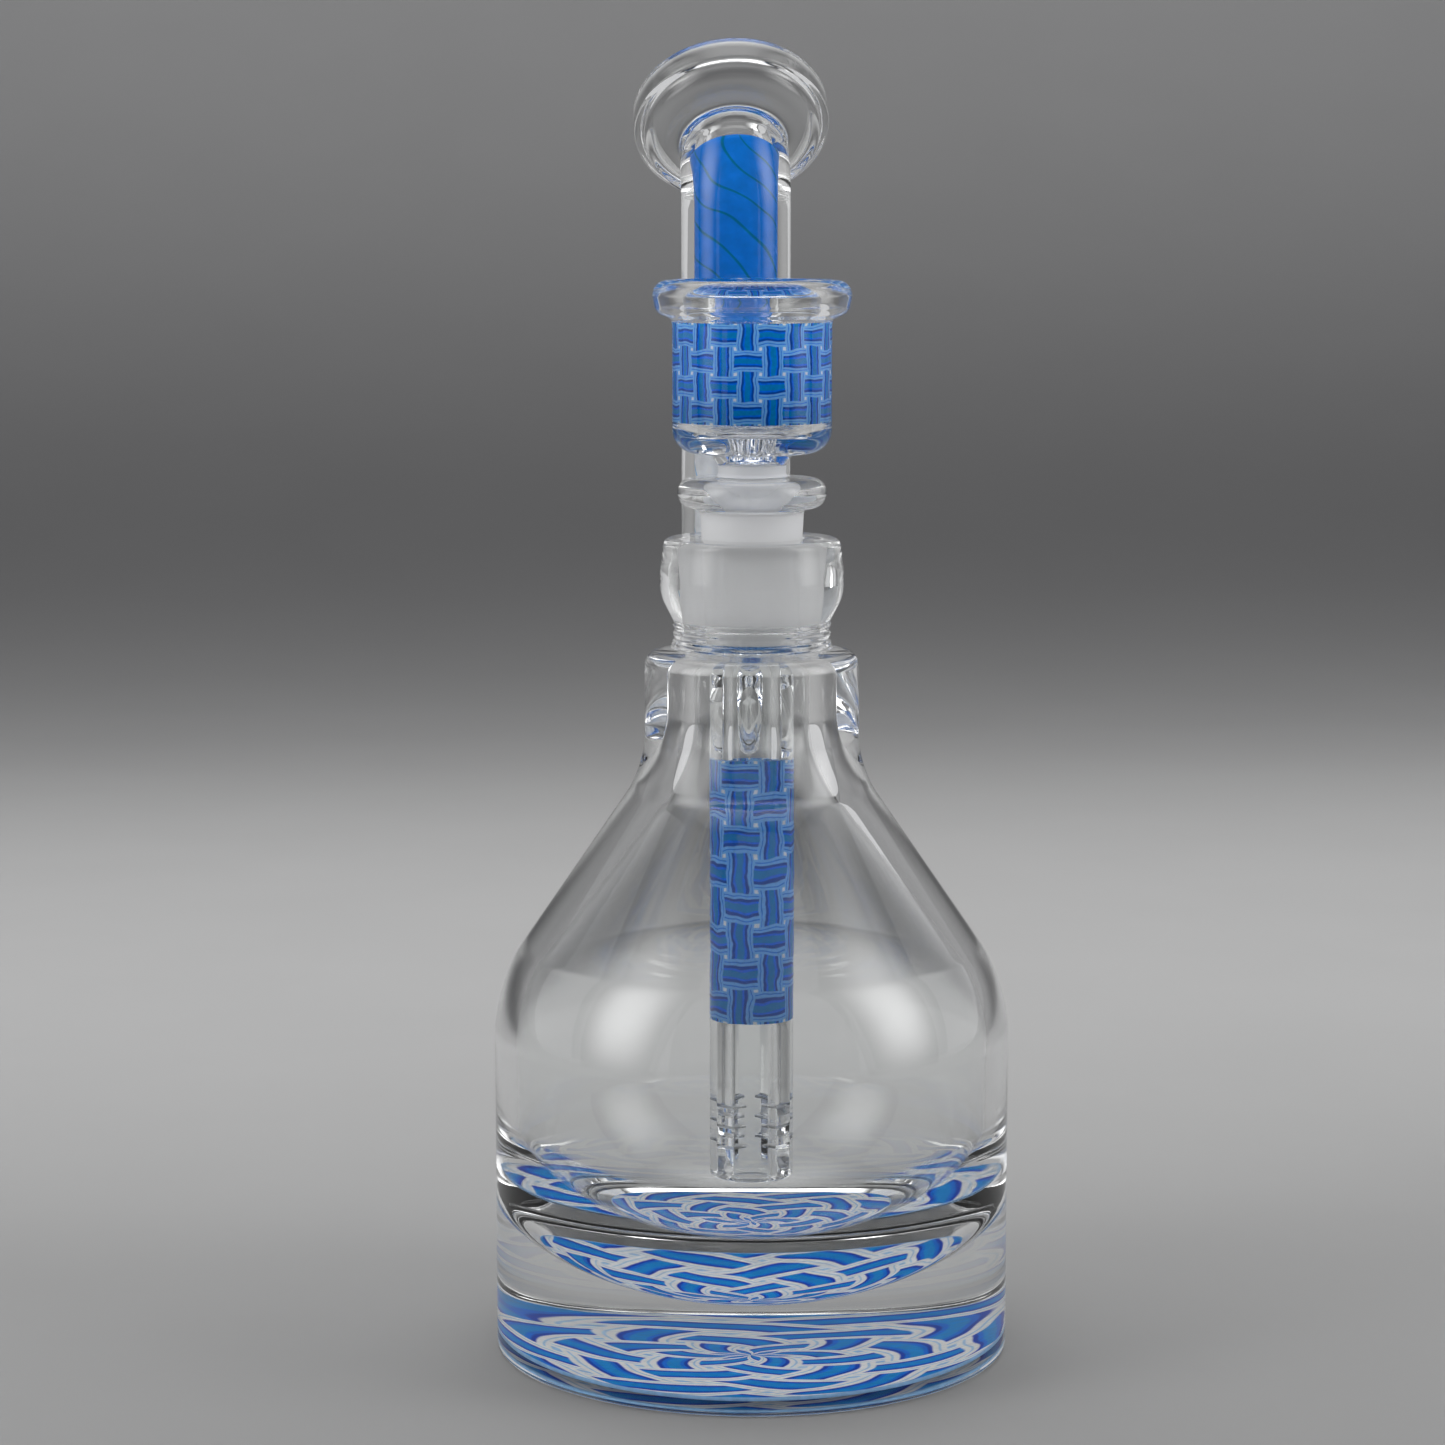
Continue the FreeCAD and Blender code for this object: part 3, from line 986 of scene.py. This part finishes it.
@dataclass
class Mouthpiece:
    """Tube from the back of the neck up to the tilted lip, with its coloured lining.

    Profiles are rows of distances along the tube and radii. The swell is a row of pulls, and the others
    are control points.
    """

    foot_start: Vector = field(default_factory=lambda: Vector((0, 6.0, 91.27)))
    foot_rise: float = 30.0
    foot_r: float = 7.6
    foot_bore_r: float = 3.75
    tube_inset: float = 5.0
    bore_inset: float = 1.5
    swell: Profile = ((0.7, 7.7), (0.7, 7.87), (0.7, 8.03), (0.7, 8.11), (0.6, 8.15))
    lining_r: float = 4.2
    lining_wall: float = 0.45
    lining_turn: float = 36.0
    bore_r: float = 3.6
    bore_narrowing: float = 4.0
    lower_bend_r: float = 12.0
    lower_steps: int = 16
    upper_bend_r: float = 13.0
    upper_steps: int = 20
    riser_steps: int = 18
    tilt: float = 45.0
    under: Profile = ((0, 8.15), (0.5, 8.9), (0.7, 11.2), (1.6, 12.9), (3.5, 13.3), (3.6, 14.6), (4.4, 14.6))
    edge: Profile = ((4.4, 14.6), (7.5, 14.6), (7.8, 14.5), (7.8, 13.9))
    mouth: Profile = ((7.8, 13.9), (7.6, 12.7), (4.6, 12.0), (2.8, 11.0), (2.5, 8.4), (1.4, 5.4))
    funnel: Profile = ((0, 3.6), (0.9, 3.8), (2.2, 5.2), (4.0, 7.2))
    funnel_end: Span = (6.0, 12.0)

    @property
    def axis_y(self) -> float:
        """How far behind the bottle's axis the riser stands."""
        low, high = node_box("riser_tube")
        return (low.y + high.y) / 2

    @property
    def heading(self) -> Vector:
        """Direction in which the foot leaves the neck."""
        angle = math.radians(self.foot_rise)
        return Vector((0, math.cos(angle), math.sin(angle)))

    @property
    def foot_length(self) -> float:
        """Length of the foot's line up to the lower bend."""
        whole = (self.axis_y - self.foot_start.y) / self.heading.y
        return whole - self.lower_bend_r * math.tan(math.radians(90 - self.foot_rise) / 2)

    @property
    def riser_length(self) -> float:
        """Length of the upright tube between the bends."""
        low, high = span_of("riser_tube")
        return high - low

    def foot(self, radius: float, inset: float, sides: int) -> TubePull:
        """Start a tube inside the neck and pull it through the foot and the lower bend.

        Args:
            radius: its radius in millimetres.
            inset: how far along the foot's line it starts.
            sides: edges in its ring.

        Returns:
            The pull, heading straight up.
        """
        pull = TubePull(radius, self.foot_start + self.heading * inset, self.heading, sides)
        pull.pull(self.foot_length - inset, steps=4)
        return pull.bend(self.lower_bend_r, 90 - self.foot_rise, self.lower_steps)

    def tube(self) -> Piece:
        """The tube's outside as a solid, from inside the neck wall to the middle of the lip's mouth."""
        pull = self.foot(self.foot_r, self.tube_inset, 64).follow(self.swell)
        pull.pull(self.riser_length - sum(length for length, _ in self.swell), steps=self.riser_steps)
        pull.bend(self.upper_bend_r, -self.tilt, self.upper_steps)
        for stretch, steps in ((self.under, 5), (self.edge, 3), (self.mouth, 5)):
            pull.follow(rounded_stations(stretch, steps))
        return new_object("tube_blank", pull.close(), [])

    def bore(self) -> Piece:
        """The air way, from inside the neck to above the lip, as a cutting tool."""
        pull = self.foot(self.foot_bore_r, self.bore_inset, 48)
        pull.pull(self.bore_narrowing, self.bore_r, 3)
        pull.pull(self.riser_length - self.bore_narrowing, steps=self.riser_steps)
        pull.bend(self.upper_bend_r, -self.tilt, self.upper_steps)
        pull.follow(rounded_stations(self.funnel, 4))
        pull.pull(*self.funnel_end)
        return new_object("bore_tool", pull.close(), [])

    def lining(self, name: str, finish: Finish, span: Span, turn: float) -> Piece:
        """A length of the coloured lining as a closed sleeve.

        Args:
            name: the piece's name.
            finish: its material.
            span: heights of its lower end, and of its upper end or of the upper bend.
            turn: degrees that it goes round the upper bend.

        Returns:
            The piece.
        """
        outer = TubePull(self.lining_r, Vector((0, self.axis_y, span[0])), Vector((0, 0, 1)))
        outer.pull(span[1] - span[0], steps=10)
        if turn:
            outer.bend(self.upper_bend_r, -turn, 16)
        mesh = outer.close()
        ends = [face for face in mesh.faces if len(face.verts) > 4]
        bmesh.ops.delete(mesh, geom=ends, context="FACES_ONLY")
        bmesh.ops.solidify(mesh, geom=list(mesh.faces), thickness=self.lining_wall * MM)
        bmesh.ops.recalc_face_normals(mesh, faces=list(mesh.faces))
        return new_object(name, mesh, [finish])


@dataclass
class Slide:
    """Ground cone, grip ring and bowl of the lift-out slide: one piece of glass."""

    finishes: Finishes
    taper: Taper = Taper(7.25)
    cone_bore_r: float = 5.0
    stem_r: float = 4.9
    stem_bore_r: float = 3.0
    button_r: float = 6.0
    button_rise: float = 1.7
    cup_inner_r: float = 9.2
    cup_floor: float = 2.7
    grip_round: float = 2.1
    hole_r: float = 0.55
    hole_ring_r: float = 1.9
    hole_count: int = 6
    drill_length: float = 6.0

    def outline(self) -> list[Corner]:
        """Corners from the middle of the bowl's floor out over the rim and down to the cone's tip."""
        rim_r, rim_top = radius_of("bowl_rim"), span_of("bowl_rim")[1]
        cup_r = radius_of("bowl_floor")
        cup_low = span_of("bowl_floor")[0] + self.button_rise
        cup_floor = cup_low + self.cup_floor
        band_top = span_of("bowl_weave_band")[1]
        grip_low, grip_high = span_of("grip_ring")
        grip_r = radius_of("grip_ring")
        tip = span_of("ground_cone")[0]
        bowl = [
            (0, cup_floor, 0), (self.cup_inner_r, cup_floor, 2.0), (self.cup_inner_r, band_top - 0.5, 3.0),
            (self.cup_inner_r + 1.2, rim_top - 1.4, 1.5), (rim_r - 1.6, rim_top + 0.25, 2.0),
            (rim_r + 0.3, rim_top - 2.2, 1.8), (rim_r - 0.3, rim_top - 5.2, 1.6),
            (cup_r, band_top + 0.2, 1.2), (cup_r, cup_low, 3.4), (self.button_r, cup_low - 0.1, 0.5),
        ]
        grip = [
            (self.stem_r, cup_low - self.button_rise, 0.6), (self.stem_r, grip_high, 0.8),
            (grip_r, grip_high, self.grip_round), (grip_r, grip_low, self.grip_round),
        ]
        cone = [
            (self.taper.at(grip_low), grip_low, 0.9), (self.taper.at(tip), tip, 0.5),
            (self.cone_bore_r, tip, 0.5), (self.cone_bore_r, grip_low + 0.6, 1.0),
            (self.stem_bore_r, grip_low + 2.6, 1.0), (self.stem_bore_r, cup_low, 1.0), (0, cup_low, 0),
        ]
        return bowl + grip + cone

    def is_ground(self, centre: Vector) -> bool:
        """True on the outside of the ground cone and in the bore behind it."""
        in_bore = centre.z < span_of("slide_stem")[1] and off_axis(centre) < self.cone_bore_r + 0.1
        return centre.z < span_of("grip_ring")[0] - 0.5 or in_bore

    def build(self) -> Piece:
        """Turn the slide and drill the screen through the bowl's floor."""
        piece = turned_piece("slide_glass", self.outline(), [self.finishes.clear, self.finishes.ground], 112)
        cut(piece, self.drill(), Action.CUT)
        mark_faces(piece, self.is_ground, 1)
        polish(piece)
        return piece

    def drill(self) -> Piece:
        """The screen's holes, one in the middle of a ring of others, as one cutting tool."""
        mesh = bmesh.new()
        middle = Vector((0, 0, span_of("bowl_floor")[0] + self.drill_length / 2))
        centres = [Vector((0, 0, 0))]
        for index in range(self.hole_count):
            turn = Matrix.Rotation(FULL_TURN * index / self.hole_count, 3, "Z")
            centres.append(turn @ Vector((self.hole_ring_r, 0, 0)))
        for centre in centres:
            bmesh.ops.create_cone(
                mesh, cap_ends=True, segments=16, radius1=self.hole_r * MM, radius2=self.hole_r * MM,
                depth=self.drill_length * MM, matrix=Matrix.Translation((centre + middle) * MM),
            )
        return new_object("screen_drill", mesh, [])


def woven_sleeve(name: str, node: str, cells_round: int, rows: int, thickness: float) -> Piece:
    """Closed sleeve of basket weave that lies just under the outside of a CAD node.

    Args:
        name: the piece's name.
        node: the CAD node.
        cells_round: strips round the sleeve.
        rows: strips up the sleeve.
        thickness: wall of the sleeve in millimetres.

    Returns:
        The piece.
    """
    low, high = span_of(node)
    outer = radius_of(node) - CLEAR_SKIN
    inner = outer - thickness
    weave = BasketWeave(name + "_finish", cells_round, (high - low) / rows, low)
    corners = [(outer, low, 0), (outer, high, 0), (inner, high, 0), (inner, low, 0)]
    return turned_piece(name, corners, [weave.build()], 96)


# ---------------- studio


@dataclass(frozen=True)
class Card:
    """Flat card of the studio: its name, its middle, and its width and height in metres."""

    name: str
    place: Vector
    size: Span

    def hang(self, finish: Finish, turn: Sequence[float], unseen_by: Sequence[str]) -> None:
        """Make the card and hang it.

        Args:
            finish: its material.
            turn: its turns round X, Y and Z, from lying level.
            unseen_by: the kinds of ray that pass it by.
        """
        mesh = bmesh.new()
        bmesh.ops.create_grid(mesh, x_segments=1, y_segments=1, size=0.5)
        bmesh.ops.scale(mesh, verts=list(mesh.verts), vec=(*self.size, 1))
        card = new_object(self.name, mesh, [finish])
        card.location = self.place
        card.rotation_euler = turn
        for kind in unseen_by:
            setattr(card, "visible_" + kind, False)


@dataclass
class Studio:
    """Grey sweep, soft panels, dark cards and the camera, with the sweep's sizes and the aim in metres."""

    camera_distance: float = 545.0
    camera_height: float = 166.7
    camera_azimuth: float = -5.9
    pitch_down: float = 7.8
    swing: float = 0.445
    lens: float = 94.67
    aim: Vector = field(default_factory=lambda: Vector((0, 0, 0.09)))
    floor_half: float = 1.5
    wall_height: float = 2.6
    sweep_r: float = 0.9
    panel_strength: float = 4.2
    surround: Colour = (0.33, 0.33, 0.335)
    surround_strength: float = 1.85

    def backdrop(self) -> None:
        """Floor that sweeps up into a wall behind the pipe."""
        mesh = bmesh.new()
        bmesh.ops.create_grid(mesh, x_segments=1, y_segments=1, size=self.floor_half)
        back = max(mesh.edges, key=lambda edge: edge.verts[0].co.y + edge.verts[1].co.y)
        made = bmesh.ops.extrude_edge_only(mesh, edges=[back])["geom"]
        raised = [item for item in made if isinstance(item, BMVert)]
        bmesh.ops.translate(mesh, verts=raised, vec=(0, 0, self.wall_height))
        bmesh.ops.bevel(
            mesh, geom=[back], offset=self.sweep_r, offset_type="OFFSET", segments=32, profile=0.5,
            affect="EDGES", material=-1,
        )
        new_object("backdrop", mesh, [SweepPaper().build()])

    def lights(self) -> None:
        """Hang the soft panels and light the surround dimly."""
        left = Card("left_panel", Vector((-0.72, -0.26, 0.45)), (0.70, 1.20))
        right = Card("right_panel", Vector((0.72, -0.28, 0.45)), (0.70, 1.20))
        top = Card("top_panel", Vector((0, 0.20, 1.05)), (1.6, 1.2))
        for panel in (left, right, top):
            glow = SoftGlow(panel.name + "_glow", panel.size, self.panel_strength)
            turn = (self.aim - panel.place).to_track_quat("-Z", "Y").to_euler()
            panel.hang(glow.build(), turn, ("camera",))
        world = bpy.data.worlds.new("surround")
        bpy.context.scene.world = world
        world.use_nodes = True
        background = world.node_tree.nodes["Background"]
        background.inputs["Color"].default_value = (*self.surround, 1.0)
        background.inputs["Strength"].default_value = self.surround_strength

    def dark_cards(self) -> None:
        """Hang dark cards that only reflections see, so that no haze lies over the coloured glass."""
        front = Card("front_card", Vector((0, -0.85, 0.5)), (1.5, 1.2))
        overhead = Card("overhead_card", Vector((0, -0.50, 0.98)), (1.3, 0.84))
        others = ("camera", "diffuse", "transmission", "shadow", "volume_scatter")
        for card, tilt in ((front, math.pi / 2), (overhead, 0.0)):
            card.hang(CardBlack(card.name + "_black").build(), (tilt, 0, 0), others)

    def camera(self) -> None:
        """Stand the camera in front, a little to the left and above, as if held at table height."""
        turn = math.radians(self.camera_azimuth)
        data = bpy.data.cameras.new("camera")
        data.lens = self.lens
        data.sensor_width = 36.0
        data.clip_start = 0.01
        view = bpy.data.objects.new("camera", data)
        bpy.context.scene.collection.objects.link(view)
        reach = self.camera_distance * MM
        view.location = (math.sin(turn) * reach, -math.cos(turn) * reach, self.camera_height * MM)
        heading = turn + math.radians(self.swing)
        view.rotation_euler = (math.radians(90 - self.pitch_down), 0, heading)
        bpy.context.scene.camera = view

    def light_paths(self) -> None:
        """Let light through the many walls of glass."""
        cycles = bpy.context.scene.cycles
        cycles.max_bounces = 28
        cycles.transmission_bounces = 28
        cycles.glossy_bounces = 12
        cycles.transparent_max_bounces = 16
        bpy.context.scene.view_settings.view_transform = "Standard"

    def build(self) -> None:
        """Set the whole studio up."""
        self.backdrop()
        self.lights()
        self.dark_cards()
        self.camera()
        self.light_paths()


# ---------------- assembly


def enter(piece: Piece, body: Body, slot: Slot, *nodes: str) -> None:
    """Put a piece on its body, hide the CAD nodes that it stands for and log its faces."""
    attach(piece, body.value)
    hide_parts(*nodes)
    LOG.info("%s: %d faces on %s", piece.name, len(piece.data.polygons), body.value)


def build_pipe(finishes: Finishes) -> None:
    """Build the clear glass of the pipe and the coloured glass inside it."""
    mouthpiece = Mouthpiece()
    glass = Bottle(finishes).build(mouthpiece)
    enter(glass, Body.BOTTLE, Slot.CLEAR, "base_foot", "base_block", "bottle_shell", "weld_ring",
          "joint_socket", "downstem_top", "downstem_diffuser", "tube_foot", "lower_bend", "riser_tube",
          "upper_bend", "mouthpiece_lip")
    stem = woven_sleeve("stem_weave", "downstem_weave", 8, 8, 2.55)
    enter(stem, Body.BOTTLE, Slot.WEAVE, "downstem_weave")
    disc_r = radius_of("patterned_disc")
    low, high = span_of("patterned_disc")
    disc_corners = [(0, low, 0), (disc_r, low, 0), (disc_r, high, 0), (0, high, 0)]
    disc = turned_piece("swirl_disc", disc_corners, [SwirlWeave(edge_r=disc_r).build()])
    enter(disc, Body.BOTTLE, Slot.SWIRL, "patterned_disc")
    axis = Vector((0, mouthpiece.axis_y, 0))
    white = LinedColour("white_lining_finish", (0.90, 0.92, 0.95), (0.10, 0.45, 0.85), axis, 10.0, 1.0)
    blue = LinedColour("blue_lining_finish", (0.006, 0.23, 0.86), (0.0, 0.20, 0.40), axis, 4.6, 0.8)
    white_span = span_of("lining_white")
    blue_span = (white_span[1], span_of("riser_tube")[1])
    lower = mouthpiece.lining("white_lining_sleeve", white.build(), white_span, 0)
    enter(lower, Body.BOTTLE, Slot.WHITE, "lining_white")
    upper = mouthpiece.lining("blue_lining_sleeve", blue.build(), blue_span, mouthpiece.lining_turn)
    enter(upper, Body.BOTTLE, Slot.BLUE, "lining_blue")


def build_slide(finishes: Finishes) -> None:
    """Build the slide and the patterned band of its bowl."""
    enter(Slide(finishes).build(), Body.SLIDE, Slot.CLEAR,
          "ground_cone", "grip_ring", "slide_stem", "bowl_floor", "bowl_rim")
    band = woven_sleeve("bowl_weave", "bowl_weave_band", 20, 4, 1.65)
    enter(band, Body.SLIDE, Slot.WEAVE, "bowl_weave_band")


def main() -> None:
    """Build the pipe, the slide and the studio."""
    logging.basicConfig(level=logging.INFO, format="%(message)s")
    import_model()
    sawn = GroundGlass("sawn_glass_finish", clear_share=0.85, roughness=0.35)
    finishes = Finishes(ClearGlass().build(), GroundGlass().build(), sawn.build())
    build_pipe(finishes)
    build_slide(finishes)
    Studio().build()


if __name__ == "__main__":
    main()
